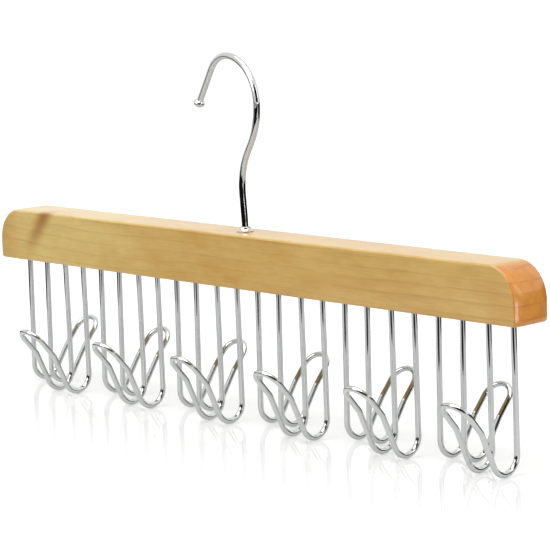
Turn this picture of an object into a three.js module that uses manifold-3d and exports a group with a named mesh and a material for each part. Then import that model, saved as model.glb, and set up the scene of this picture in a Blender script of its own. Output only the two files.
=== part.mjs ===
// A wooden belt hanger: a lacquered bar with a row of bent wire belt hooks underneath, facing back
// and front in turn, and a swivelling hanging hook held in the middle of the bar.
// Millimetres, +Z up, X along the bar. The origin is under the bar's middle, level with the lowest
// point of the belt hooks, and the front of the hanger faces -Y.
import * as THREE from "three";
import { mergeVertices } from "three/addons/utils/BufferGeometryUtils.js";
import Module from "manifold-3d";

// Bar
const BAR_LENGTH = 432;
const BAR_HEIGHT = 31.2;
const BAR_THICKNESS = 25.5;
const BAR_TOP_CORNER = 20; // radius of the two upper corners, seen from the front
const BAR_BOTTOM_CORNER = 3.2;
const BAR_EDGE_ROUND = 3; // rounding of the edges round the front and the back

// Belt hooks: each is one wire with two shanks, joined by the loop at its tip
const BELT_HOOK_COUNT = 12;
const BELT_END_MARGIN = 23; // from an end of the bar to the middle of the first hook
const BELT_WIRE = 3.2;
const BELT_SHANK_SPACING = 17.2; // between the middles of a hook's two shanks
const BELT_DROP = 80; // from the bar's underside to the lowest point of a hook
const BELT_SHANK_SEAT = 20; // length of a shank inside the wood
const BELT_BEND_RADIUS = 9.5; // at the middle of the wire, at the bottom of a hook
const BELT_FRONT_LEAN = THREE.MathUtils.degToRad(24); // a front hook's riser, from the vertical
const BELT_BACK_LEAN = THREE.MathUtils.degToRad(33); // back hooks are opened a little wider
const BELT_FRONT_RISER = 19.6; // length of a front hook's straight riser
const BELT_BACK_RISER = 17.7;
const BELT_KINK_RADIUS = 10;
const BELT_TIP_LEAN = THREE.MathUtils.degToRad(40.5); // from the vertical
const BELT_TIP_RUN = 10.8; // straight stretch between the kink and the round loop
const BELT_SWING = THREE.MathUtils.degToRad(0.7); // each hook hangs in by this much, from its seat

// Hanging hook: one wire that leans, sweeps out and curls over into the crook
const HOOK_WIRE = 3.8;
const HOOK_NECK_RUN = 4.5; // straight stretch above the bar
const HOOK_LEAN = THREE.MathUtils.degToRad(4.4);
const HOOK_LEAN_RADIUS = 40;
const HOOK_LEAN_RUN = 14;
const HOOK_SWEEP = THREE.MathUtils.degToRad(33); // slant of the middle of the S-shaped neck
const HOOK_SWEEP_RADIUS = 39;
const HOOK_SWEEP_RUN = 6.7;
const HOOK_CROOK_RADIUS = 26.8;
const HOOK_CROWN_RADIUS = 18; // tighter bend just past the top
const HOOK_CROWN_TURN = THREE.MathUtils.degToRad(57.4);
const HOOK_TIP_RUN = 24;
const HOOK_BUTTON_DIAMETER = 6.4; // upset end of the wire
const HOOK_BUTTON_LENGTH = 4.8;
const HOOK_HEAD_DIAMETER = 6.8; // peened end under the washer
const HOOK_HEAD_HEIGHT = 2.4;
const HOOK_REST_TURN = THREE.MathUtils.degToRad(-5.4); // how far the hook stands swivelled at rest

// Ferrule and washer that carry the hanging hook
const FERRULE_DIAMETER = 9.8;
const FERRULE_RIM_HEIGHT = 0.7;
const FERRULE_HEIGHT = 2.8;
const FERRULE_NECK_WALL = 0.9; // wall of the ferrule at its narrow top
const FERRULE_SLEEVE_WALL = 1.0;
const FERRULE_SLEEVE_DEPTH = 9; // length of the sleeve inside the wood
const WASHER_DIAMETER = 9;
const WASHER_THICKNESS = 1.2;
const COUNTERBORE_DEPTH = 8; // in the bar's underside, for the washer and the peened end

// Fits
const CLEARANCE = 0.3; // radial, also the play above the peened end
const WIRE_CLEARANCE = 0.3; // glue gap round a belt hook's shank

// Fineness of round shapes
const BELT_WIRE_SIDES = 8;
const HOOK_WIRE_SIDES = 12;
const ROUND_SIDES = 24;
const HOLE_SIDES = 10;
const BEND_STEP = THREE.MathUtils.degToRad(20); // largest turn between two rings of a bent wire
const CORNER_STEPS = 8;
const EDGE_STEPS = 3;
const DOME_STEPS = 6;
const MERGE_DISTANCE = 1e-4;

// Where things are
const UNDERSIDE = BELT_DROP;
const BAR_TOP = UNDERSIDE + BAR_HEIGHT;
const COUNTERBORE_CEILING = UNDERSIDE + COUNTERBORE_DEPTH;
const HOOK_BORE = HOOK_WIRE / 2 + CLEARANCE;
const SLEEVE_RADIUS = HOOK_BORE + FERRULE_SLEEVE_WALL;
const OVERCUT = 1; // how far a cutter passes the surface that it opens

const X_AXIS = new THREE.Vector3(1, 0, 0);
const Y_AXIS = new THREE.Vector3(0, 1, 0);
const UP = new THREE.Vector3(0, 0, 1);
const DOWN = UP.clone().negate();

const wasm = await Module();
wasm.setup();

const woodFinish = { color: 0xcda768, roughness: 0.35, metalness: 0 };
const chromeFinish = { color: 0xd9dcdd, roughness: 0.08, metalness: 1 };
const steelFinish = { color: 0xa9abac, roughness: 0.35, metalness: 1 };

function namedMesh(name, geometry, finish) {
  const mesh = new THREE.Mesh(geometry, new THREE.MeshStandardMaterial(finish));
  mesh.name = name;
  return mesh;
}

// Joining and cutting closed meshes
function toSolid(geometry) {
  const loose = geometry.index ? geometry.toNonIndexed() : geometry.clone();
  loose.deleteAttribute("normal");
  loose.deleteAttribute("uv");
  const merged = mergeVertices(loose, MERGE_DISTANCE);
  const corners = merged.index.array;
  const triangles = [];
  for (let i = 0; i < corners.length; i += 3) {
    const [a, b, c] = corners.slice(i, i + 3);
    if (a !== b && b !== c && c !== a) triangles.push(a, b, c);
  }
  return new wasm.Manifold(
    new wasm.Mesh({
      numProp: 3,
      vertProperties: merged.getAttribute("position").array,
      triVerts: new Uint32Array(triangles),
    }),
  );
}

function toGeometry(solid) {
  const mesh = solid.getMesh();
  const geometry = new THREE.BufferGeometry();
  geometry.setAttribute("position", new THREE.BufferAttribute(mesh.vertProperties, 3));
  geometry.setIndex(new THREE.BufferAttribute(mesh.triVerts, 1));
  geometry.computeVertexNormals();
  return geometry;
}

// A bent wire's centreline, made of straight runs and bends. A run is one step long, however long
// it is, and a bend is split so that no step turns more than BEND_STEP.
class WireRoute extends THREE.Curve {
  constructor(start, heading) {
    super();
    this.points = [start.clone()];
    this.headings = [heading.clone().normalize()];
  }

  get steps() {
    return this.points.length - 1;
  }

  get end() {
    return this.points[this.steps].clone();
  }

  get heading() {
    return this.headings[this.steps].clone();
  }

  run(length) {
    const heading = this.heading;
    this.points.push(this.end.addScaledVector(heading, length));
    this.headings.push(heading);
    return this;
  }

  // Turns by angle about axis, which is square to the heading.
  bend(radius, angle, axis) {
    const start = this.end;
    const heading = this.heading;
    const centre = start.clone().addScaledVector(axis.clone().cross(heading), radius);
    const count = Math.ceil(angle / BEND_STEP);
    for (let i = 1; i <= count; i += 1) {
      const turned = (angle * i) / count;
      this.points.push(start.clone().sub(centre).applyAxisAngle(axis, turned).add(centre));
      this.headings.push(heading.clone().applyAxisAngle(axis, turned));
    }
    return this;
  }

  getPoint(t, target = new THREE.Vector3()) {
    return target.copy(this.points[Math.round(t * this.steps)]);
  }

  getPointAt(u, target) {
    return this.getPoint(u, target);
  }

  getTangent(t, target = new THREE.Vector3()) {
    return target.copy(this.headings[Math.round(t * this.steps)]);
  }

  getTangentAt(u, target) {
    return this.getTangent(u, target);
  }
}

function roundWire(route, diameter, sides) {
  const section = new THREE.Shape();
  for (let i = 0; i < sides; i += 1) {
    const angle = (2 * Math.PI * i) / sides;
    const corner = new THREE.Vector2(Math.cos(angle), Math.sin(angle)).multiplyScalar(diameter / 2);
    if (i === 0) section.moveTo(corner.x, corner.y);
    else section.lineTo(corner.x, corner.y);
  }
  return new THREE.ExtrudeGeometry(section, { steps: route.steps, extrudePath: route });
}

// A shape turned about the Z axis, from radius and height pairs.
function turned(profile) {
  const points = profile.map(([radius, height]) => new THREE.Vector2(radius, height));
  return new THREE.LatheGeometry(points, ROUND_SIDES).rotateX(Math.PI / 2);
}

// A round cutter from one height to another.
function bore(x, radius, bottom, top, sides) {
  const cutter = new THREE.CylinderGeometry(radius, radius, top - bottom, sides);
  return toSolid(cutter.rotateX(Math.PI / 2).translate(x, 0, (bottom + top) / 2));
}

// The middle of each belt hook along the bar, left to right.
function beltHookPlaces() {
  const first = BELT_END_MARGIN - BAR_LENGTH / 2;
  const pitch = (-2 * first) / (BELT_HOOK_COUNT - 1);
  return Array.from({ length: BELT_HOOK_COUNT }, (_, i) => first + i * pitch);
}

// The bar: a rounded outline, with blind holes for the shanks and a stepped bore for the hook
function barOutline() {
  const half = BAR_LENGTH / 2;
  const outline = new THREE.Shape();
  const low = BAR_BOTTOM_CORNER;
  const high = BAR_TOP_CORNER;
  outline.moveTo(-half + low, 0);
  outline.absarc(half - low, low, low, -Math.PI / 2, 0);
  outline.absarc(half - high, BAR_HEIGHT - high, high, 0, Math.PI / 2);
  outline.absarc(-half + high, BAR_HEIGHT - high, high, Math.PI / 2, Math.PI);
  outline.absarc(-half + low, low, low, Math.PI, 1.5 * Math.PI);
  return outline;
}

function barBlank() {
  const flat = BAR_THICKNESS - 2 * BAR_EDGE_ROUND;
  const blank = new THREE.ExtrudeGeometry(barOutline(), {
    depth: flat,
    curveSegments: CORNER_STEPS / 2,
    bevelEnabled: true,
    bevelThickness: BAR_EDGE_ROUND,
    bevelSize: BAR_EDGE_ROUND,
    bevelOffset: -BAR_EDGE_ROUND,
    bevelSegments: EDGE_STEPS,
  });
  return toSolid(blank.translate(0, 0, -flat / 2).rotateX(Math.PI / 2).translate(0, 0, UNDERSIDE));
}

function barGeometry() {
  let bar = barBlank();
  const shankHole = BELT_WIRE / 2 + WIRE_CLEARANCE;
  const shankHoleTop = UNDERSIDE + BELT_SHANK_SEAT + WIRE_CLEARANCE;
  for (const middle of beltHookPlaces()) {
    for (const side of [-1, 1]) {
      const x = middle + (side * BELT_SHANK_SPACING) / 2;
      bar = bar.subtract(bore(x, shankHole, UNDERSIDE - OVERCUT, shankHoleTop, HOLE_SIDES));
    }
  }
  const sleeveHoleBottom = BAR_TOP - FERRULE_SLEEVE_DEPTH - CLEARANCE;
  const counterbore = WASHER_DIAMETER / 2 + CLEARANCE;
  const cutters = [
    bore(0, HOOK_BORE, UNDERSIDE - OVERCUT, BAR_TOP + OVERCUT, ROUND_SIDES),
    bore(0, SLEEVE_RADIUS + CLEARANCE, sleeveHoleBottom, BAR_TOP + OVERCUT, ROUND_SIDES),
    bore(0, counterbore, UNDERSIDE - OVERCUT, COUNTERBORE_CEILING, ROUND_SIDES),
  ];
  for (const cutter of cutters) bar = bar.subtract(cutter);
  return toGeometry(bar);
}

// One belt hook, facing the front, with its lowest point at height 0 and a riser of the given lean
// and length
function beltHookGeometry(riserLean, riserRun) {
  const lowest = BELT_WIRE / 2 + BELT_BEND_RADIUS * Math.sin(BELT_SWING);
  const top = UNDERSIDE + BELT_SHANK_SEAT;
  const shankRun = top - lowest - BELT_BEND_RADIUS;
  const underTurn = Math.PI - riserLean;
  const kinkTurn = BELT_TIP_LEAN - riserLean;
  const left = X_AXIS.clone().negate();
  const right = X_AXIS;
  const route = new WireRoute(new THREE.Vector3(-BELT_SHANK_SPACING / 2, 0, top), DOWN);
  route.run(shankRun).bend(BELT_BEND_RADIUS, underTurn, left).run(riserRun);
  route.bend(BELT_KINK_RADIUS, kinkTurn, right).run(BELT_TIP_RUN);
  route.bend(BELT_SHANK_SPACING / 2, Math.PI, route.heading.cross(X_AXIS));
  route.run(BELT_TIP_RUN).bend(BELT_KINK_RADIUS, kinkTurn, left);
  route.run(riserRun).bend(BELT_BEND_RADIUS, underTurn, right).run(shankRun);
  const pivot = UNDERSIDE + BELT_SHANK_SEAT / 2;
  const wire = roundWire(route, BELT_WIRE, BELT_WIRE_SIDES);
  return wire.translate(0, 0, -pivot).rotateX(BELT_SWING).translate(0, 0, pivot);
}

// The hanging hook: bent wire, the button upset on its tip and the end peened under the washer
function hangingHookGeometry() {
  const headTop = COUNTERBORE_CEILING - WASHER_THICKNESS - CLEARANCE;
  const left = Y_AXIS.clone().negate();
  const right = Y_AXIS;
  const route = new WireRoute(new THREE.Vector3(0, 0, headTop - HOOK_HEAD_HEIGHT / 2), UP);
  route.run(BAR_TOP + HOOK_NECK_RUN - route.end.z);
  route.bend(HOOK_LEAN_RADIUS, HOOK_LEAN, left).run(HOOK_LEAN_RUN);
  route.bend(HOOK_SWEEP_RADIUS, HOOK_LEAN + HOOK_SWEEP, right).run(HOOK_SWEEP_RUN);
  route.bend(HOOK_SWEEP_RADIUS, HOOK_SWEEP, left);
  route.bend(HOOK_CROOK_RADIUS, Math.PI / 2, left);
  route.bend(HOOK_CROWN_RADIUS, HOOK_CROWN_TURN, left).run(HOOK_TIP_RUN);
  const wire = toSolid(roundWire(route, HOOK_WIRE, HOOK_WIRE_SIDES));

  const button = turned(dome(HOOK_BUTTON_DIAMETER / 2, HOOK_BUTTON_LENGTH, 2));
  const turn = new THREE.Quaternion().setFromUnitVectors(UP, route.heading);
  button.translate(0, 0, -HOOK_BUTTON_LENGTH / 2).applyQuaternion(turn);
  button.translate(route.end.x, route.end.y, route.end.z);

  const head = turned(dome(HOOK_HEAD_DIAMETER / 2, HOOK_HEAD_HEIGHT, 1));
  head.translate(0, 0, headTop - HOOK_HEAD_HEIGHT);
  return toGeometry(wire.add(toSolid(button)).add(toSolid(head)));
}

// The profile of a button of the given height: round at the bottom and, with two ends, at the top.
function dome(radius, height, ends) {
  const reach = height / ends;
  const profile = [];
  for (let i = 0; i <= DOME_STEPS * ends; i += 1) {
    const angle = ((i / DOME_STEPS) * Math.PI) / 2;
    profile.push([radius * Math.sin(angle), reach * (1 - Math.cos(angle))]);
  }
  profile[0][0] = 0;
  if (ends === 1) profile.push([0, height]);
  else profile[profile.length - 1][0] = 0;
  return profile;
}

// The bell-shaped ferrule on top of the bar, with its sleeve in the wood
function ferruleGeometry() {
  const rim = FERRULE_DIAMETER / 2;
  const neck = HOOK_BORE + FERRULE_NECK_WALL;
  const bottom = BAR_TOP - FERRULE_SLEEVE_DEPTH;
  const flare = [];
  for (let i = 0; i <= DOME_STEPS; i += 1) {
    const angle = ((i / DOME_STEPS) * Math.PI) / 2;
    const rise = FERRULE_HEIGHT - FERRULE_RIM_HEIGHT;
    flare.push([
      rim - (rim - neck) * Math.sin(angle),
      BAR_TOP + FERRULE_RIM_HEIGHT + rise * (1 - Math.cos(angle)),
    ]);
  }
  return turned([
    [HOOK_BORE, bottom],
    [SLEEVE_RADIUS, bottom],
    [SLEEVE_RADIUS, BAR_TOP],
    [rim, BAR_TOP],
    ...flare,
    [HOOK_BORE, BAR_TOP + FERRULE_HEIGHT],
    [HOOK_BORE, bottom],
  ]);
}

function washerGeometry() {
  const outer = WASHER_DIAMETER / 2;
  const bottom = COUNTERBORE_CEILING - WASHER_THICKNESS;
  return turned([
    [HOOK_BORE, bottom],
    [outer, bottom],
    [outer, COUNTERBORE_CEILING],
    [HOOK_BORE, COUNTERBORE_CEILING],
    [HOOK_BORE, bottom],
  ]);
}

const hanger = new THREE.Group();
hanger.add(namedMesh("bar", barGeometry(), woodFinish));
hanger.add(namedMesh("hook_ferrule", ferruleGeometry(), chromeFinish));
hanger.add(namedMesh("hook_washer", washerGeometry(), steelFinish));
const hangingHook = namedMesh("swivel_hook", hangingHookGeometry(), chromeFinish);
hangingHook.rotation.z = HOOK_REST_TURN;
hanger.add(hangingHook);

const frontHook = beltHookGeometry(BELT_FRONT_LEAN, BELT_FRONT_RISER);
const backHook = beltHookGeometry(BELT_BACK_LEAN, BELT_BACK_RISER);
beltHookPlaces().forEach((middle, i) => {
  const number = String(i + 1).padStart(2, "0");
  const facesBack = i % 2 === 0;
  const mesh = namedMesh(`belt_hook_${number}`, facesBack ? backHook : frontHook, chromeFinish);
  mesh.rotation.z = facesBack ? Math.PI : 0;
  mesh.position.x = middle;
  hanger.add(mesh);
});

export default hanger;
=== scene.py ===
"""The looks of a wooden belt hanger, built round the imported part: fine swept chrome wires, a rounded
lacquered bar with real wood figure, a turned ferrule and washer, and a white studio. Metres, in the
part's own frame: X along the bar, +Z up, the front towards -Y."""
import math

import bmesh
import bpy
from mathutils import Matrix, Vector


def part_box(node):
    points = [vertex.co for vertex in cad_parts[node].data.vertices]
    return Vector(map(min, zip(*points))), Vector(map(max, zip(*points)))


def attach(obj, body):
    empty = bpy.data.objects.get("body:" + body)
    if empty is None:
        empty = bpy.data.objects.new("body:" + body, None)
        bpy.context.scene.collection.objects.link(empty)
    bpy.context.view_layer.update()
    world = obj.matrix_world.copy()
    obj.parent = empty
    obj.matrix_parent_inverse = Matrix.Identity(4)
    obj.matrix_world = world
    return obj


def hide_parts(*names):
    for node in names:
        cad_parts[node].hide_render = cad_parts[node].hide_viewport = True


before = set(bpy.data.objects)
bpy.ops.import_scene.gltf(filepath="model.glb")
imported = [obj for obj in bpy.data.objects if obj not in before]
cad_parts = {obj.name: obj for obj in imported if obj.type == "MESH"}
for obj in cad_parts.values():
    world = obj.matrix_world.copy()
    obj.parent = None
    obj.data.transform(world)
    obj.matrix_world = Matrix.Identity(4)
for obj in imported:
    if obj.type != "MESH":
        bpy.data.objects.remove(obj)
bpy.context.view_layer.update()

MM = 0.001
X_AXIS = Vector((1, 0, 0))
Y_AXIS = Vector((0, 1, 0))
UP = Vector((0, 0, 1))

# Bar
BAR_TOP_CORNER = 20 * MM
BAR_BOTTOM_CORNER = 3.2 * MM
BAR_END_SWELL = 2.4 * MM  # how far each end bulges out between its front and its back
BAR_SWELL_DEPTH = 9 * MM
BAR_END_ROUND = 0.6 * MM  # edge of the front and the back at the ends
BAR_LONG_ROUND = 1.4 * MM  # along the top and the bottom

# Belt hooks
BELT_WIRE = 3.2 * MM
BELT_SHANK_SPACING = 17.2 * MM
BELT_SHANK_SEAT = 20 * MM
BELT_BEND_RADIUS = 9.5 * MM
BELT_FRONT_LEAN = math.radians(24)
BELT_BACK_LEAN = math.radians(33)
BELT_FRONT_RISER = 19.6 * MM
BELT_BACK_RISER = 17.7 * MM
BELT_KINK_RADIUS = 10 * MM
BELT_TIP_LEAN = math.radians(40.5)
BELT_TIP_RUN = 10.8 * MM
BELT_SWING = math.radians(0.7)

# Hanging hook
HOOK_WIRE = 3.8 * MM
HOOK_NECK_RUN = 4.5 * MM
HOOK_LEAN = math.radians(4.4)
HOOK_LEAN_RADIUS = 40 * MM
HOOK_LEAN_RUN = 14 * MM
HOOK_SWEEP = math.radians(33)
HOOK_SWEEP_RADIUS = 39 * MM
HOOK_SWEEP_RUN = 6.7 * MM
HOOK_CROOK_RADIUS = 26.8 * MM
HOOK_CROWN_RADIUS = 18 * MM
HOOK_CROWN_TURN = math.radians(57.4)
HOOK_TIP_RUN = 24 * MM
HOOK_BUTTON_DIAMETER = 6.4 * MM
HOOK_BUTTON_LENGTH = 4.8 * MM
HOOK_HEAD_DIAMETER = 6.8 * MM
HOOK_HEAD_HEIGHT = 2.4 * MM
HOOK_REST_TURN = math.radians(-5.4)

# Ferrule, washer and fits
FERRULE_RIM_HEIGHT = 0.7 * MM
FERRULE_NECK_WALL = 0.9 * MM
FERRULE_SLEEVE_WALL = 1.0 * MM
EDGE_SOFTENING = 0.15 * MM
CLEARANCE = 0.3 * MM

# Fineness
BELT_WIRE_SIDES = 24
HOOK_WIRE_SIDES = 40
TURNED_SIDES = 96
HOLE_SIDES = 32
BEND_STEP = math.radians(4)
RUN_STEP = 6 * MM
CORNER_STEPS = 24
EDGE_STEPS = 8
DOME_STEPS = 16
SHARP_ANGLE = math.radians(32)
SHADING_WEIGHT = 100
MERGE_DISTANCE = 1e-4 * MM

# Where things are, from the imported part
BAR_LOW, BAR_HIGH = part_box("bar")
UNDERSIDE = BAR_LOW.z
BAR_TOP = BAR_HIGH.z
WASHER_LOW, WASHER_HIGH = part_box("hook_washer")
FERRULE_LOW, FERRULE_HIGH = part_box("hook_ferrule")
HOOK_BORE = HOOK_WIRE / 2 + CLEARANCE
SLEEVE_RADIUS = HOOK_BORE + FERRULE_SLEEVE_WALL
BELT_NODES = sorted(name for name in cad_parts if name.startswith("belt_hook_"))


# Meshes
def add_piece(name, mesh, material, body, node):
    """A finished piece of the hanger: it rides on a body and stands for a CAD node."""
    piece = bpy.data.objects.new(name, mesh)
    bpy.context.scene.collection.objects.link(piece)
    mesh.materials.clear()
    mesh.materials.append(material)
    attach(piece, body)
    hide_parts(node)
    return piece


def smooth_mesh(name, builder):
    """A mesh from a bmesh, smooth except at its real corners."""
    bmesh.ops.recalc_face_normals(builder, faces=builder.faces)
    mesh = bpy.data.meshes.new(name)
    builder.to_mesh(mesh)
    builder.free()
    mesh.shade_smooth()
    mesh.set_sharp_from_angle(angle=SHARP_ANGLE)
    return mesh


def join_rings(builder, rings):
    """Skins rings of points, where a ring may be a single point at a pole."""
    made = [[builder.verts.new(point) for point in ring] for ring in rings]
    for low, high in zip(made, made[1:]):
        count = max(len(low), len(high))
        for i in range(count):
            j = (i + 1) % count
            corners = [low[i % len(low)], low[j % len(low)], high[j % len(high)], high[i % len(high)]]
            builder.faces.new(list(dict.fromkeys(corners)))
    return made


class WireRoute:
    """A bent wire's centreline: straight runs and bends, walked in short steps."""

    def __init__(self, start, heading):
        self.points = [Vector(start)]
        self.heading = Vector(heading).normalized()

    def run(self, length):
        steps = max(1, math.ceil(length / RUN_STEP))
        start = self.points[-1]
        self.points += [start + self.heading * (length * i / steps) for i in range(1, steps + 1)]
        return self

    def bend(self, radius, angle, axis):
        steps = max(1, math.ceil(angle / BEND_STEP))
        start = self.points[-1]
        centre = start + axis.cross(self.heading) * radius
        for i in range(1, steps + 1):
            turn = Matrix.Rotation(angle * i / steps, 3, axis)
            self.points.append(centre + turn @ (start - centre))
        self.heading = Matrix.Rotation(angle, 3, axis) @ self.heading
        return self


def wire_rings(points, radii, sides):
    """Round sections along a line of points, carried without twist."""
    rings = []
    across = None
    for i, point in enumerate(points):
        before = points[max(i - 1, 0)]
        after = points[min(i + 1, len(points) - 1)]
        along = (after - before).normalized()
        if across is None:
            across = along.orthogonal().normalized()
        across = (across - along * across.dot(along)).normalized()
        up = along.cross(across)
        turns = [2 * math.pi * k / sides for k in range(sides)]
        rings.append([point + (across * math.cos(t) + up * math.sin(t)) * radii[i] for t in turns])
    return rings


def turned_mesh(name, profile):
    """A closed profile of radius and height pairs, turned about the Z axis."""
    builder = bmesh.new()
    turns = [2 * math.pi * k / TURNED_SIDES for k in range(TURNED_SIDES)]
    rings = [[Vector((r * math.cos(t), r * math.sin(t), z)) for t in turns] for r, z in profile]
    join_rings(builder, rings + rings[:1])
    bmesh.ops.remove_doubles(builder, verts=builder.verts, dist=MERGE_DISTANCE)
    return smooth_mesh(name, builder)


# The bar
def arc(centre_x, centre_z, reach_x, reach_z, start):
    """A quarter turn from the start angle."""
    steps = [start + math.pi / 2 * i / CORNER_STEPS for i in range(CORNER_STEPS + 1)]
    return [(centre_x + reach_x * math.cos(t), centre_z + reach_z * math.sin(t)) for t in steps]


def bar_outline(in_x, in_z):
    """The bar's outline seen from the front, drawn in at its ends and at its top and bottom."""
    low = BAR_BOTTOM_CORNER
    high = BAR_TOP_CORNER
    quarter = math.pi / 2
    left = BAR_LOW.x
    right = BAR_HIGH.x
    outline = arc(right - low, UNDERSIDE + low, low - in_x, low - in_z, -quarter)
    outline += arc(right - high, BAR_TOP - high, high - in_x, high - in_z, 0)
    outline += arc(left + high, BAR_TOP - high, high - in_x, high - in_z, quarter)
    outline += arc(left + low, UNDERSIDE + low, low - in_x, low - in_z, 2 * quarter)
    return outline


def rounding(radius, depth):
    """How far a rounded edge is drawn in at a depth below the face."""
    left = max(radius - depth, 0)
    return radius - math.sqrt(radius * radius - left * left)


def end_inset(depth):
    """How far the ends are drawn in at a depth below the front or the back."""
    radius = (BAR_SWELL_DEPTH ** 2 + BAR_END_SWELL ** 2) / (2 * BAR_END_SWELL)
    left = max(BAR_SWELL_DEPTH - depth, 0)
    return radius - math.sqrt(radius * radius - left * left) + rounding(BAR_END_ROUND, depth)


def bar_blank():
    """The bar without its holes: a skin over outlines from the front to the back."""
    builder = bmesh.new()
    steps = [1 - math.cos(math.pi / 2 * i / EDGE_STEPS) for i in range(EDGE_STEPS + 1)]
    depths = [BAR_END_ROUND * step for step in steps]
    depths += [BAR_END_ROUND + (BAR_SWELL_DEPTH - BAR_END_ROUND) * step for step in steps[1:]]
    places = [(depth, BAR_LOW.y + depth) for depth in depths]
    places += [(depth, BAR_HIGH.y - depth) for depth in reversed(depths)]
    rings = []
    for depth, y in places:
        outline = bar_outline(end_inset(depth), rounding(BAR_LONG_ROUND, depth))
        rings.append([Vector((x, y, z)) for x, z in outline])
    made = join_rings(builder, rings)
    builder.faces.new(made[0])
    builder.faces.new(made[-1])
    return smooth_mesh("bar_blank", builder)


def drill(builder, x, radius, bottom, top, sides):
    turns = [2 * math.pi * k / sides for k in range(sides)]
    circle = [(x + radius * math.cos(t), radius * math.sin(t)) for t in turns]
    made = join_rings(builder, [[Vector((*point, z)) for point in circle] for z in (bottom, top)])
    builder.faces.new(made[0])
    builder.faces.new(made[-1])


def drill_set(holes):
    """One cutter object for holes that don't meet."""
    builder = bmesh.new()
    for x, radius, bottom, top, sides in holes:
        drill(builder, x, radius, bottom, top, sides)
    mesh = smooth_mesh("drills", builder)
    cutter = bpy.data.objects.new("drills", mesh)
    bpy.context.scene.collection.objects.link(cutter)
    return cutter


def cut(mesh, cutter):
    """The mesh with the cutter's holes in it; the cutter is used up."""
    work = bpy.data.objects.new("work", mesh)
    bpy.context.scene.collection.objects.link(work)
    tool = work.modifiers.new("holes", "BOOLEAN")
    tool.operation = "DIFFERENCE"
    tool.solver = "EXACT"
    tool.object = cutter
    shown = work.evaluated_get(bpy.context.evaluated_depsgraph_get())
    result = bpy.data.meshes.new_from_object(shown)
    for used in (work, cutter):
        bpy.data.objects.remove(used)
    return result


def make_bar(wood):
    """The bar with its holes, which start past the surface so that they cut it cleanly."""
    past = CLEARANCE
    shank_hole = BELT_WIRE / 2 + CLEARANCE
    shank_top = UNDERSIDE + BELT_SHANK_SEAT + CLEARANCE
    holes = []
    for node in BELT_NODES:
        for side in (-1, 1):
            x = node_middle(node).x + side * BELT_SHANK_SPACING / 2
            holes.append((x, shank_hole, UNDERSIDE - past, shank_top, HOLE_SIDES))
    counterbore = (WASHER_HIGH.x - WASHER_LOW.x) / 2 + CLEARANCE
    holes.append((0, counterbore, UNDERSIDE - past, WASHER_HIGH.z, TURNED_SIDES))
    mesh = cut(bar_blank(), drill_set(holes))
    sleeve_hole = SLEEVE_RADIUS + CLEARANCE
    sleeve_bottom = FERRULE_LOW.z - CLEARANCE
    mesh = cut(mesh, drill_set([(0, HOOK_BORE, UNDERSIDE - past, BAR_TOP + past, HOLE_SIDES)]))
    mesh = cut(mesh, drill_set([(0, sleeve_hole, sleeve_bottom, BAR_TOP + past, HOLE_SIDES)]))
    mesh.shade_smooth()
    mesh.set_sharp_from_angle(angle=SHARP_ANGLE)
    bar = add_piece("bar_body", mesh, wood, "bar", "bar")
    shading = bar.modifiers.new("even_shading", "WEIGHTED_NORMAL")
    shading.keep_sharp = True
    shading.weight = SHADING_WEIGHT
    return bar


# Belt hooks
def node_middle(node):
    low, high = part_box(node)
    return (low + high) / 2


def belt_hook_mesh(name, faces_back):
    lean = BELT_BACK_LEAN if faces_back else BELT_FRONT_LEAN
    riser = BELT_BACK_RISER if faces_back else BELT_FRONT_RISER
    top = UNDERSIDE + BELT_SHANK_SEAT
    lowest = BELT_WIRE / 2 + BELT_BEND_RADIUS * math.sin(BELT_SWING)
    shank = top - lowest - BELT_BEND_RADIUS
    under_turn = math.pi - lean
    kink_turn = BELT_TIP_LEAN - lean
    left = -X_AXIS
    right = X_AXIS
    route = WireRoute((-BELT_SHANK_SPACING / 2, 0, top), -UP)
    route.run(shank).bend(BELT_BEND_RADIUS, under_turn, left).run(riser)
    route.bend(BELT_KINK_RADIUS, kink_turn, right).run(BELT_TIP_RUN)
    route.bend(BELT_SHANK_SPACING / 2, math.pi, route.heading.cross(X_AXIS))
    route.run(BELT_TIP_RUN).bend(BELT_KINK_RADIUS, kink_turn, left)
    route.run(riser).bend(BELT_BEND_RADIUS, under_turn, right).run(shank)
    builder = bmesh.new()
    radii = [BELT_WIRE / 2] * len(route.points)
    made = join_rings(builder, wire_rings(route.points, radii, BELT_WIRE_SIDES))
    builder.faces.new(made[0])
    builder.faces.new(made[-1])
    return smooth_mesh(name, builder)


def make_belt_hook(node, chrome):
    middle = node_middle(node)
    faces_back = middle.y > 0
    mesh = belt_hook_mesh(node + "_wire", faces_back)
    pivot = Matrix.Translation((0, 0, UNDERSIDE + BELT_SHANK_SEAT / 2))
    mesh.transform(pivot @ Matrix.Rotation(BELT_SWING, 4, X_AXIS) @ pivot.inverted())
    turn = Matrix.Rotation(math.pi if faces_back else 0, 4, UP)
    mesh.transform(Matrix.Translation((middle.x, 0, 0)) @ turn)
    add_piece(node + "_wire", mesh, chrome, "bar", node)


# Hanging hook
def hook_route():
    head_top = WASHER_LOW.z - CLEARANCE
    left = -Y_AXIS
    right = Y_AXIS
    route = WireRoute((0, 0, head_top), UP)
    route.run(BAR_TOP + HOOK_NECK_RUN - head_top)
    route.bend(HOOK_LEAN_RADIUS, HOOK_LEAN, left).run(HOOK_LEAN_RUN)
    route.bend(HOOK_SWEEP_RADIUS, HOOK_LEAN + HOOK_SWEEP, right).run(HOOK_SWEEP_RUN)
    route.bend(HOOK_SWEEP_RADIUS, HOOK_SWEEP, left)
    route.bend(HOOK_CROOK_RADIUS, math.pi / 2, left)
    route.bend(HOOK_CROWN_RADIUS, HOOK_CROWN_TURN, left)
    return route.run(HOOK_TIP_RUN - HOOK_BUTTON_LENGTH / 2)


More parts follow.
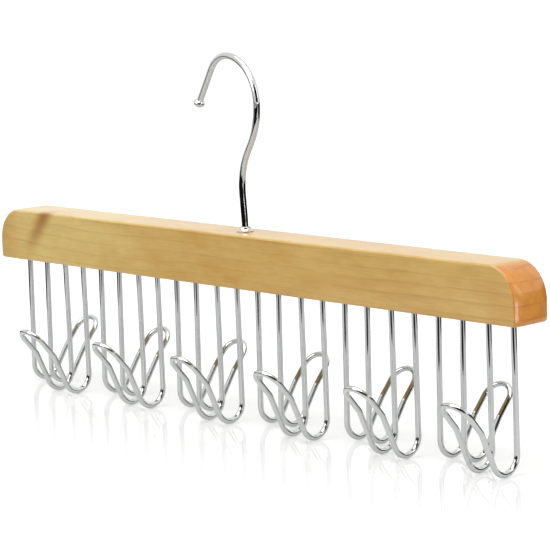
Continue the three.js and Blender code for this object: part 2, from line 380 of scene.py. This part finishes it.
def make_hanging_hook(chrome):
    """One wire with its peened head and its tip button, all of round sections."""
    route = hook_route()
    wire = HOOK_WIRE / 2
    button = HOOK_BUTTON_DIAMETER / 2
    head = HOOK_HEAD_DIAMETER / 2
    rings = wire_rings(route.points, [wire] * len(route.points), HOOK_WIRE_SIDES)
    start = route.points[0]

    def round_section(ring, centre, shift, radius):
        """One of the wire's rings, shifted and brought to another radius."""
        unit = [(point - centre) / wire for point in ring]
        return [centre + shift + corner * radius for corner in unit]

    steps = [math.pi / 2 * i / DOME_STEPS for i in range(1, DOME_STEPS + 1)]
    head_rings = [[start - UP * HOOK_HEAD_HEIGHT]]
    for t in steps:
        shift = -UP * (HOOK_HEAD_HEIGHT * math.cos(t))
        head_rings.append(round_section(rings[0], start, shift, head * math.sin(t)))

    end = route.points[-1]
    waist = math.asin(wire / button)
    middle = end + route.heading * (HOOK_BUTTON_LENGTH / 2 * math.cos(waist))
    tip_rings = []
    for i in range(1, 2 * DOME_STEPS):
        t = waist + (math.pi - waist) * i / (2 * DOME_STEPS)
        shift = route.heading * (-HOOK_BUTTON_LENGTH / 2 * math.cos(t)) + middle - end
        tip_rings.append(round_section(rings[-1], end, shift, button * math.sin(t)))
    tip_rings.append([middle + route.heading * (HOOK_BUTTON_LENGTH / 2)])

    builder = bmesh.new()
    join_rings(builder, head_rings + rings + tip_rings)
    mesh = smooth_mesh("hanging_hook_wire", builder)
    mesh.transform(Matrix.Rotation(HOOK_REST_TURN, 4, UP))
    add_piece("hanging_hook_wire", mesh, chrome, "swivel_hook", "swivel_hook")


# Ferrule and washer
def make_ferrule(chrome):
    rim = (FERRULE_HIGH.x - FERRULE_LOW.x) / 2
    neck = HOOK_BORE + FERRULE_NECK_WALL
    rise = FERRULE_HIGH.z - BAR_TOP - FERRULE_RIM_HEIGHT
    flare = []
    for i in range(DOME_STEPS + 1):
        angle = math.pi / 2 * i / DOME_STEPS
        radius = rim - (rim - neck) * math.sin(angle)
        flare.append((radius, BAR_TOP + FERRULE_RIM_HEIGHT + rise * (1 - math.cos(angle))))
    flare[-1] = (neck, FERRULE_HIGH.z - EDGE_SOFTENING)
    profile = [
        (HOOK_BORE, FERRULE_LOW.z),
        (SLEEVE_RADIUS, FERRULE_LOW.z),
        (SLEEVE_RADIUS, BAR_TOP),
        (rim - EDGE_SOFTENING, BAR_TOP),
        (rim, BAR_TOP + EDGE_SOFTENING),
        *flare,
        (neck - EDGE_SOFTENING, FERRULE_HIGH.z),
        (HOOK_BORE, FERRULE_HIGH.z),
    ]
    mesh = turned_mesh("ferrule_bell", profile)
    add_piece("ferrule_bell", mesh, chrome, "bar", "hook_ferrule")


def make_washer(steel):
    outer = (WASHER_HIGH.x - WASHER_LOW.x) / 2
    low = WASHER_LOW.z
    high = WASHER_HIGH.z
    profile = [
        (HOOK_BORE, low + EDGE_SOFTENING),
        (HOOK_BORE + EDGE_SOFTENING, low),
        (outer - EDGE_SOFTENING, low),
        (outer, low + EDGE_SOFTENING),
        (outer, high),
        (HOOK_BORE, high),
    ]
    mesh = turned_mesh("washer_ring", profile)
    add_piece("washer_ring", mesh, steel, "bar", "hook_washer")


# Materials
class Nodes:
    """Short calls for building a node tree."""

    def __init__(self, tree):
        self.tree = tree
        tree.nodes.clear()

    def add(self, kind, **settings):
        node = self.tree.nodes.new(kind)
        for key, value in settings.items():
            setattr(node, key, value)
        return node

    def link(self, source, target):
        self.tree.links.new(source, target)

    def feed(self, socket, value):
        """Links an output to a socket, or sets a plain value on it."""
        if isinstance(value, bpy.types.NodeSocket):
            self.link(value, socket)
        else:
            socket.default_value = value

    def math(self, operation, *values, clamp=False):
        node = self.add("ShaderNodeMath", operation=operation, use_clamp=clamp)
        for socket, value in zip(node.inputs, values):
            self.feed(socket, value)
        return node.outputs[0]

    def stretch(self, vector, scale):
        node = self.add("ShaderNodeMapping")
        self.link(vector, node.inputs["Vector"])
        node.inputs["Scale"].default_value = scale
        return node.outputs[0]

    def noise(self, vector, detail, roughness=0.5):
        node = self.add("ShaderNodeTexNoise")
        self.link(vector, node.inputs["Vector"])
        node.inputs["Scale"].default_value = 1.0
        node.inputs["Detail"].default_value = detail
        node.inputs["Roughness"].default_value = roughness
        return node.outputs["Fac"]

    def range(self, value, low, high, to_low=0.0, to_high=1.0, smooth=False):
        node = self.add("ShaderNodeMapRange", clamp=True)
        node.interpolation_type = "SMOOTHSTEP" if smooth else "LINEAR"
        for socket, part in zip(node.inputs, (value, low, high, to_low, to_high)):
            self.feed(socket, part)
        return node.outputs[0]

    def mix(self, factor, first, second, blend="MIX"):
        node = self.add("ShaderNodeMix", data_type="RGBA", blend_type=blend)
        self.feed(node.inputs["Factor"], factor)
        colours = [socket for socket in node.inputs if socket.type == "RGBA"]
        for socket, value in zip(colours, (first, second)):
            self.feed(socket, value if isinstance(value, bpy.types.NodeSocket) else (*value, 1))
        return [socket for socket in node.outputs if socket.type == "RGBA"][0]

    def bump(self, height, strength, distance):
        node = self.add("ShaderNodeBump")
        self.link(height, node.inputs["Height"])
        node.inputs["Strength"].default_value = strength
        node.inputs["Distance"].default_value = distance
        return node.outputs["Normal"]


def new_material(name):
    material = bpy.data.materials.new(name)
    material.use_nodes = True
    nodes = Nodes(material.node_tree)
    shader = nodes.add("ShaderNodeBsdfPrincipled")
    output = nodes.add("ShaderNodeOutputMaterial")
    nodes.link(shader.outputs[0], output.inputs["Surface"])
    return material, nodes, shader


# Wood: its colours, and where along the bar they are
PALE_WOOD = (0.67, 0.495, 0.18)
WARM_WOOD = (0.56, 0.33, 0.085)
LATE_WOOD = (0.42, 0.21, 0.045)
END_WOOD = (0.58, 0.225, 0.03)
END_LINE = (0.43, 0.135, 0.012)
STREAK_WOOD = (0.36, 0.155, 0.032)
PALE_END = -160 * MM
WARM_END = -30 * MM
SOAK_DEPTH = 26 * MM
STREAK_TOP = Vector((-168 * MM, 0, 111 * MM))
STREAK_FOOT = Vector((-193 * MM, 0, 76 * MM))
STREAK_WIDTH = 5.6 * MM

# Wood: how often each figure repeats in a metre along X, Y and Z
LAYER_WAVES = (6, 14, 18)
LAYER_WOBBLES = (22, 90, 120)
LAYER_PATCHES = (14, 40, 110)
BLOTCHES = (28, 60, 75)
MOTTLES = (90, 240, 240)
END_CLOUDS = (60, 130, 130)
FIBRES = (70, 1500, 1500)
PORES = (160, 2600, 2600)

# Wood: the growth layers, where each runs from 0 at its foot to 1 at its top
LAYER_HEIGHT = 6.6 * MM
LAYER_WAVE_REACH = 2.2
LAYER_WOBBLE_REACH = 0.22
LAYERS_CLIMBED = 1.4  # in a metre along the bar
SOFT_RISE = (0.2, 0.86)
SOFT_SHARE = 0.35
LINE_RISE = (0.74, 0.9)
LINE_SHARE = 0.65
LINE_FALL = (0.92, 1.0)
LAYER_SHOWN = (0.25, 1.0)  # least and most, in patches

# Which part of a noise's values counts
USUAL_NOISE = (0.3, 0.7)
PATCH_NOISE = (0.38, 0.62)
FIBRE_NOISE = (0.25, 0.75)
PORE_NOISE = (0.68, 0.78)
CLOUD_NOISE = (0.42, 0.66)

# Wood: how strongly each figure shows
LAYER_STRENGTH = (0.28, 0.52)  # left and right
WARMTH = 0.8
SOAKED_WARMTH = 0.7
BLOTCH_WARMTH = 0.27
END_FACING = (0.1, 0.42)  # how far a surface has to face an end to show end grain
END_STRENGTH = 0.92
END_LINE_STRENGTH = 0.8
END_CLOUD_STRENGTH = 0.55
STREAK_STRENGTH = 0.95
FIBRE_SHADE = (0.91, 1.07)
MOTTLE_SHADE = (0.95, 1.04)
PORE_SHADE = 0.10
FIBRE_BUMP = 0.06
FIBRE_RELIEF = 0.05 * MM
WOOD_ROUGHNESS = 0.42
WOOD_SPECULAR = 0.3
LACQUER_WEIGHT = 0.6
LACQUER_ROUGHNESS = 0.07
LACQUER_IOR = 1.5


def wood_layers(nodes, place, parts):
    """Growth layers, nearly level, that wave slowly along the bar: 0 in early wood to 1 in a line."""
    wave = nodes.noise(nodes.stretch(place, LAYER_WAVES), detail=1.5)
    wobble = nodes.noise(nodes.stretch(place, LAYER_WOBBLES), detail=2.0)
    wobble = nodes.math("MULTIPLY", wobble, LAYER_WOBBLE_REACH)
    drift = nodes.math("MULTIPLY_ADD", wave, LAYER_WAVE_REACH, wobble)
    level = nodes.math("MULTIPLY_ADD", parts["Z"], 1 / LAYER_HEIGHT, drift)
    level = nodes.math("MULTIPLY_ADD", parts["X"], LAYERS_CLIMBED, level)
    within = nodes.math("FRACT", level)
    soft = nodes.range(within, *SOFT_RISE, 0.0, SOFT_SHARE, smooth=True)
    line = nodes.range(within, *LINE_RISE, 0.0, LINE_SHARE, smooth=True)
    fall = nodes.range(within, *LINE_FALL, 1.0, 0.0, smooth=True)
    patches = nodes.noise(nodes.stretch(place, LAYER_PATCHES), detail=1.0)
    shown = nodes.range(patches, *PATCH_NOISE, *LAYER_SHOWN)
    layer = nodes.math("MULTIPLY", nodes.math("ADD", soft, line), fall)
    return nodes.math("MULTIPLY", layer, shown)


def wood_streak(nodes, parts):
    """A dark streak that slants down from the top edge near the left end and fades out."""
    run = STREAK_FOOT - STREAK_TOP
    slope = run.x / run.z
    from_top = nodes.math("SUBTRACT", parts["Z"], STREAK_TOP.z)
    line_x = nodes.math("MULTIPLY_ADD", from_top, slope, STREAK_TOP.x)
    off = nodes.math("ABSOLUTE", nodes.math("SUBTRACT", parts["X"], line_x))
    core = nodes.range(off, 0.0, 2 * STREAK_WIDTH, 1.0, 0.0, smooth=True)
    fade = nodes.range(parts["Z"], STREAK_FOOT.z, STREAK_TOP.z, 0.0, 1.0, smooth=True)
    depth = nodes.range(parts["Y"], BAR_LOW.y, 0.0, 1.0, 0.0)
    return nodes.math("MULTIPLY", nodes.math("MULTIPLY", core, fade), depth)


def face_colour(nodes, place, parts, layer):
    """Pale wood on the left and warm wood on the right, with blotches and the layers' darker lines."""
    along = nodes.range(parts["X"], PALE_END, WARM_END, 0.0, WARMTH, smooth=True)
    soaked_to = BAR_LOW.x + SOAK_DEPTH
    soaked = nodes.range(parts["X"], BAR_LOW.x, soaked_to, SOAKED_WARMTH, 0.0, smooth=True)
    along = nodes.math("ADD", along, soaked)
    blotch = nodes.noise(nodes.stretch(place, BLOTCHES), detail=3.0)
    blotch = nodes.range(blotch, *USUAL_NOISE, -BLOTCH_WARMTH, BLOTCH_WARMTH)
    warmth = nodes.math("ADD", along, blotch, clamp=True)
    strength = nodes.range(parts["X"], PALE_END, -PALE_END, *LAYER_STRENGTH)
    colour = nodes.mix(warmth, PALE_WOOD, WARM_WOOD)
    return nodes.mix(nodes.math("MULTIPLY", layer, strength), colour, LATE_WOOD)


def end_colour(nodes, place, layer):
    """End grain: redder, with the layers' lines and darker clouds."""
    cloud = nodes.noise(nodes.stretch(place, END_CLOUDS), detail=3.0)
    cloud = nodes.range(cloud, *CLOUD_NOISE, 0.0, END_CLOUD_STRENGTH)
    dark = nodes.math("MAXIMUM", nodes.math("MULTIPLY", layer, END_LINE_STRENGTH), cloud)
    return nodes.mix(dark, END_WOOD, END_LINE)


def wood_shade(nodes, place, fibre):
    """A grey close to 1 that darkens or lightens the wood: fibres, mottle and pores."""
    mottle = nodes.noise(nodes.stretch(place, MOTTLES), detail=4.0, roughness=0.6)
    pores = nodes.range(nodes.noise(nodes.stretch(place, PORES), detail=1.0), *PORE_NOISE)
    shade = nodes.range(fibre, *FIBRE_NOISE, *FIBRE_SHADE)
    shade = nodes.math("MULTIPLY", shade, nodes.range(mottle, *USUAL_NOISE, *MOTTLE_SHADE))
    shade = nodes.math("SUBTRACT", shade, nodes.math("MULTIPLY", pores, PORE_SHADE))
    grey = nodes.add("ShaderNodeCombineColor")
    for socket in grey.inputs:
        nodes.link(shade, socket)
    return grey.outputs[0]


def make_wood():
    material, nodes, shader = new_material("lacquered_wood")
    coordinates = nodes.add("ShaderNodeTexCoord")
    place = coordinates.outputs["Object"]
    split = nodes.add("ShaderNodeSeparateXYZ")
    nodes.link(place, split.inputs[0])
    parts = {axis: split.outputs[axis] for axis in "XYZ"}
    facing = nodes.add("ShaderNodeSeparateXYZ")
    nodes.link(coordinates.outputs["Normal"], facing.inputs[0])

    layer = wood_layers(nodes, place, parts)
    fibre = nodes.noise(nodes.stretch(place, FIBRES), detail=4.0, roughness=0.6)
    end_grain = nodes.range(nodes.math("ABSOLUTE", facing.outputs["X"]), *END_FACING, smooth=True)
    end_grain = nodes.math("MULTIPLY", end_grain, END_STRENGTH)
    streak = nodes.math("MULTIPLY", wood_streak(nodes, parts), STREAK_STRENGTH)
    colour = face_colour(nodes, place, parts, layer)
    colour = nodes.mix(end_grain, colour, end_colour(nodes, place, layer))
    colour = nodes.mix(streak, colour, STREAK_WOOD)
    colour = nodes.mix(1.0, colour, wood_shade(nodes, place, fibre), blend="MULTIPLY")

    nodes.link(colour, shader.inputs["Base Color"])
    nodes.link(nodes.bump(fibre, FIBRE_BUMP, FIBRE_RELIEF), shader.inputs["Normal"])
    shader.inputs["Roughness"].default_value = WOOD_ROUGHNESS
    shader.inputs["Specular IOR Level"].default_value = WOOD_SPECULAR
    shader.inputs["Coat Weight"].default_value = LACQUER_WEIGHT
    shader.inputs["Coat Roughness"].default_value = LACQUER_ROUGHNESS
    shader.inputs["Coat IOR"].default_value = LACQUER_IOR
    return material


# Chrome
CHROME_DIM = (0.62, 0.635, 0.63)
CHROME_BRIGHT = (0.65, 0.665, 0.66)
CHROME_ROUGHNESS = (0.035, 0.075)
CHROME_HAZE = (180, 180, 180)
CHROME_RIPPLES = (420, 420, 420)
CHROME_BUMP = 0.05
CHROME_RELIEF = 0.05 * MM


def make_chrome():
    material, nodes, shader = new_material("bright_chrome")
    place = nodes.add("ShaderNodeTexCoord").outputs["Object"]
    haze = nodes.noise(nodes.stretch(place, CHROME_HAZE), detail=4.0, roughness=0.6)
    ripple = nodes.noise(nodes.stretch(place, CHROME_RIPPLES), detail=2.0)
    tint = nodes.range(haze, *USUAL_NOISE)
    nodes.link(nodes.mix(tint, CHROME_DIM, CHROME_BRIGHT), shader.inputs["Base Color"])
    nodes.link(nodes.range(haze, *USUAL_NOISE, *CHROME_ROUGHNESS), shader.inputs["Roughness"])
    nodes.link(nodes.bump(ripple, CHROME_BUMP, CHROME_RELIEF), shader.inputs["Normal"])
    shader.inputs["Metallic"].default_value = 1.0
    return material


# Zinc plated steel
STEEL_DARK = (0.40, 0.405, 0.41)
STEEL_PALE = (0.55, 0.55, 0.54)
STEEL_ROUGHNESS = (0.26, 0.45)
STEEL_GRAIN = (900, 2600, 900)
STEEL_NOISE = (0.2, 0.8)
STEEL_BUMP = 0.15
STEEL_RELIEF = 0.03 * MM


def make_steel():
    material, nodes, shader = new_material("zinc_plated_steel")
    place = nodes.add("ShaderNodeTexCoord").outputs["Object"]
    grain = nodes.noise(nodes.stretch(place, STEEL_GRAIN), detail=4.0, roughness=0.65)
    nodes.link(nodes.mix(grain, STEEL_DARK, STEEL_PALE), shader.inputs["Base Color"])
    nodes.link(nodes.range(grain, *STEEL_NOISE, *STEEL_ROUGHNESS), shader.inputs["Roughness"])
    nodes.link(nodes.bump(grain, STEEL_BUMP, STEEL_RELIEF), shader.inputs["Normal"])
    shader.inputs["Metallic"].default_value = 1.0
    return material


# Studio
CAMERA_AZIMUTH = math.radians(47.17)
CAMERA_ELEVATION = math.radians(8.88)
CAMERA_ROLL = math.radians(-1.97)
CAMERA_TARGET = Vector((23.63 * MM, 0, 88.32 * MM))
CAMERA_DISTANCE = 1406.31 * MM
IMAGE_PIXELS = 550
FOCAL_PIXELS = 2500
SENSOR_WIDTH = 36.0

# Table: how white it is by itself, a painted pool of light along the bar that only metal shows, and
# how much of a mirror it is
FLOOR_DROP = 0.3 * MM
FLOOR_SIZE = 12.0
FLOOR_GREY = (0.55, 0.55, 0.55, 1)
FLOOR_GLOSS_ROUGHNESS = 0.04
FLOOR_WHITE = (0.54, 0.76)  # near and far
FLOOR_WHITE_REACH = (0.25, 1.1)  # from the middle
FLOOR_PAINTED_LIGHT = (0.22, 0.06)  # painted light, seen only in metal: near the bar and far from it
FLOOR_PAINTED_LIGHT_REACH = (0.05, 0.16)  # aside from the bar
FLOOR_SHEEN = 0.3
SHEEN_ASIDE = (0.02, 0.24)  # where the sheen fades out, aside from the bar
SHEEN_AROUND = (0.22, 0.38)  # round the middle
SHEEN_BEHIND = (0.02, 0.12)  # behind the hanger

BACKDROP_WHITE = (1, 1, 1, 1)
BACKDROP_STRENGTH = 1.0
AMBIENT_STRENGTH = 0.5
CARD_BLACK = (0.01, 0.01, 0.01, 1)


def camera_back():
    """The direction from the hanger to the camera."""
    level = math.cos(CAMERA_ELEVATION)
    right = math.sin(CAMERA_AZIMUTH) * level
    front = math.cos(CAMERA_AZIMUTH) * level
    return Vector((right, -front, math.sin(CAMERA_ELEVATION)))


def make_camera():
    data = bpy.data.cameras.new("camera")
    data.sensor_width = SENSOR_WIDTH
    data.lens = SENSOR_WIDTH * FOCAL_PIXELS / IMAGE_PIXELS
    camera = bpy.data.objects.new("camera", data)
    bpy.context.scene.collection.objects.link(camera)
    back = camera_back()
    right = Vector((math.cos(CAMERA_AZIMUTH), math.sin(CAMERA_AZIMUTH), 0))
    up = back.cross(right)
    across = right * math.cos(CAMERA_ROLL) + up * math.sin(CAMERA_ROLL)
    upright = up * math.cos(CAMERA_ROLL) - right * math.sin(CAMERA_ROLL)
    turn = Matrix((across, upright, back)).transposed().to_4x4()
    camera.matrix_world = Matrix.Translation(CAMERA_TARGET + back * CAMERA_DISTANCE) @ turn
    bpy.context.scene.camera = camera


def plane(name, width, height):
    mesh = bpy.data.meshes.new(name)
    x = width / 2
    y = height / 2
    mesh.from_pydata([(-x, -y, 0), (x, -y, 0), (x, y, 0), (-x, y, 0)], [], [(0, 1, 2, 3)])
    board = bpy.data.objects.new(name, mesh)
    bpy.context.scene.collection.objects.link(board)
    return board


def floor_white(nodes, path, away, aside):
    """The table's own white for the camera and through glass, and in metal a painted pool of light,
    brightest along the bar.
    """
    seen = nodes.math("MAXIMUM", path.outputs["Is Camera Ray"], path.outputs["Is Transmission Ray"])
    white = nodes.range(away, *FLOOR_WHITE_REACH, *FLOOR_WHITE, smooth=True)
    # painted light: a brighter strip of table along the bar that shows only in reflections in metal
    painted_light = nodes.range(aside, *FLOOR_PAINTED_LIGHT_REACH, *FLOOR_PAINTED_LIGHT, smooth=True)
    painted_light_in_metal = nodes.math("MULTIPLY", path.outputs["Is Glossy Ray"], painted_light)
    return nodes.math("MULTIPLY_ADD", seen, white, painted_light_in_metal)


def floor_sheen(nodes, path, away, aside, behind):
    """How much of a mirror the table is: close to the hanger, and for the camera alone."""
    sheen = nodes.range(aside, *SHEEN_ASIDE, FLOOR_SHEEN, 0.0, smooth=True)
    close_by = nodes.range(away, *SHEEN_AROUND, 1.0, 0.0, smooth=True)
    in_front = nodes.range(behind, *SHEEN_BEHIND, 1.0, 0.0, smooth=True)
    sheen = nodes.math("MULTIPLY", nodes.math("MULTIPLY", sheen, close_by), in_front)
    return nodes.math("MULTIPLY", path.outputs["Is Camera Ray"], sheen)


def make_floor():
    """A white table that keeps the hanger's soft shadow and shows a faint mirror image of it."""
    floor = plane("floor", FLOOR_SIZE, FLOOR_SIZE)
    floor.location.z = -FLOOR_DROP
    material = bpy.data.materials.new("white_table")
    material.use_nodes = True
    nodes = Nodes(material.node_tree)
    path = nodes.add("ShaderNodeLightPath")
    place = nodes.add("ShaderNodeTexCoord").outputs["Object"]
    length = nodes.add("ShaderNodeVectorMath", operation="LENGTH")
    nodes.link(place, length.inputs[0])
    away = length.outputs["Value"]
    split = nodes.add("ShaderNodeSeparateXYZ")
    nodes.link(place, split.inputs[0])
    behind = split.outputs["Y"]
    aside = nodes.math("ABSOLUTE", behind)

    lit = nodes.add("ShaderNodeBsdfDiffuse")
    lit.inputs["Color"].default_value = FLOOR_GREY
    own = nodes.add("ShaderNodeEmission")
    nodes.link(floor_white(nodes, path, away, aside), own.inputs["Strength"])
    both = nodes.add("ShaderNodeAddShader")
    nodes.link(lit.outputs[0], both.inputs[0])
    nodes.link(own.outputs[0], both.inputs[1])
    gloss = nodes.add("ShaderNodeBsdfGlossy")
    gloss.inputs["Roughness"].default_value = FLOOR_GLOSS_ROUGHNESS
    mixed = nodes.add("ShaderNodeMixShader")
    nodes.link(floor_sheen(nodes, path, away, aside, behind), mixed.inputs["Fac"])
    nodes.link(both.outputs[0], mixed.inputs[1])
    nodes.link(gloss.outputs[0], mixed.inputs[2])
    output = nodes.add("ShaderNodeOutputMaterial")
    nodes.link(mixed.outputs[0], output.inputs["Surface"])
    floor.data.materials.append(material)


def make_world():
    """White for the camera, in metal and through glass, and a dimmer light from all round."""
    world = bpy.data.worlds.new("studio")
    bpy.context.scene.world = world
    world.use_nodes = True
    nodes = Nodes(world.node_tree)
    path = nodes.add("ShaderNodeLightPath")
    shown = nodes.math("MAXIMUM", path.outputs["Is Camera Ray"], path.outputs["Is Glossy Ray"])
    shown = nodes.math("MAXIMUM", shown, path.outputs["Is Transmission Ray"])
    backdrop = nodes.add("ShaderNodeBackground")
    backdrop.inputs["Color"].default_value = BACKDROP_WHITE
    backdrop.inputs["Strength"].default_value = BACKDROP_STRENGTH
    ambient = nodes.add("ShaderNodeBackground")
    ambient.inputs["Color"].default_value = BACKDROP_WHITE
    ambient.inputs["Strength"].default_value = AMBIENT_STRENGTH
    mixed = nodes.add("ShaderNodeMixShader")
    nodes.link(shown, mixed.inputs["Fac"])
    nodes.link(ambient.outputs[0], mixed.inputs[1])
    nodes.link(backdrop.outputs[0], mixed.inputs[2])
    output = nodes.add("ShaderNodeOutputWorld")
    nodes.link(mixed.outputs[0], output.inputs["Surface"])


def around(azimuth, distance, height):
    """A place round the hanger: azimuth 0 is straight in front, 90 degrees is past the right end."""
    angle = math.radians(azimuth)
    return Vector((math.sin(angle) * distance, -math.cos(angle) * distance, height))


def aim(obj, target):
    obj.rotation_mode = "QUATERNION"
    obj.rotation_quaternion = (target - obj.location).to_track_quat("-Z", "Y")


def softbox(name, place, target, width, height, power):
    data = bpy.data.lights.new(name, "AREA")
    data.shape = "RECTANGLE"
    data.size = width
    data.size_y = height
    data.energy = power
    lamp = bpy.data.objects.new(name, data)
    bpy.context.scene.collection.objects.link(lamp)
    lamp.location = place
    aim(lamp, target)
    return lamp


def make_lamps(bar):
    """Softboxes on the hanger, and a small light at the right end that lights only the bar."""
    middle = Vector((0, 0, UNDERSIDE))
    softboxes = {
        "overhead_softbox": (Vector((0.1, -0.25, 1.3)), 1.3, 1.0, 13.5),
        "front_softbox": (around(-10, 1.6, 0.9), 0.9, 0.9, 9.0),
        "right_softbox": (around(100, 1.5, 0.8), 0.7, 0.7, 3.2),
        "strip_light": (around(78, 1.5, 0.55), 0.06, 0.9, 1.2),
    }
    for name, (place, width, height, power) in softboxes.items():
        softbox(name, place, middle, width, height, power)
    end = Vector((BAR_HIGH.x, 0, UNDERSIDE))
    beside_end = end + around(84, 0.45, -0.05)
    end_light = softbox("end_light", beside_end, end, width=0.3, height=0.12, power=0.7)
    lit = bpy.data.collections.new("lit_by_end_light")
    lit.objects.link(bar)
    end_light.light_linking.receiver_collection = lit


def dark_card(name, place, azimuth, width, height, material):
    """A black card, upright on its lower edge's place, that only glossy surfaces show."""
    card = plane(name, width, height)
    card.location = place + UP * (height / 2)
    card.rotation_euler = (math.pi / 2, 0, math.radians(azimuth))
    card.data.materials.append(material)
    card.visible_camera = False
    card.visible_diffuse = False
    card.visible_shadow = False
    card.visible_transmission = False


def make_cards():
    """Black cards round the hanger, which give the chrome its dark lines."""
    black = bpy.data.materials.new("black_card")
    black.use_nodes = True
    nodes = Nodes(black.node_tree)
    surface = nodes.add("ShaderNodeBsdfDiffuse")
    surface.inputs["Color"].default_value = CARD_BLACK
    output = nodes.add("ShaderNodeOutputMaterial")
    nodes.link(surface.outputs[0], output.inputs["Surface"])
    turned_cards = {
        "card_front": (Vector((0.25, -0.278, 0.04)), 9.4, 1.2, 0.105),
        "card_low": (Vector((0.265, -0.25, 0)), 33.7, 0.4, 0.041),
    }
    for name, (place, azimuth, width, height) in turned_cards.items():
        dark_card(name, place, azimuth, width, height, black)
    facing_cards = {
        "card_high": (64, 0.75, 0.2, 1.1, 0.54),
        "card_left": (-60, 0.47, 0, 0.94, 0.09),
        "card_back": (227, 0.6, 0, 1.2, 0.068),
        "card_right": (137, 0.47, 0, 0.94, 0.165),
    }
    for name, (azimuth, distance, lift, width, height) in facing_cards.items():
        dark_card(name, around(azimuth, distance, lift), azimuth, width, height, black)


def make_studio(bar):
    make_camera()
    make_floor()
    make_world()
    make_lamps(bar)
    make_cards()


def main():
    bpy.context.scene.view_settings.view_transform = "Standard"
    wood = make_wood()
    chrome = make_chrome()
    steel = make_steel()
    bar = make_bar(wood)
    for node in BELT_NODES:
        make_belt_hook(node, chrome)
    make_hanging_hook(chrome)
    make_ferrule(chrome)
    make_washer(steel)
    make_studio(bar)


main()
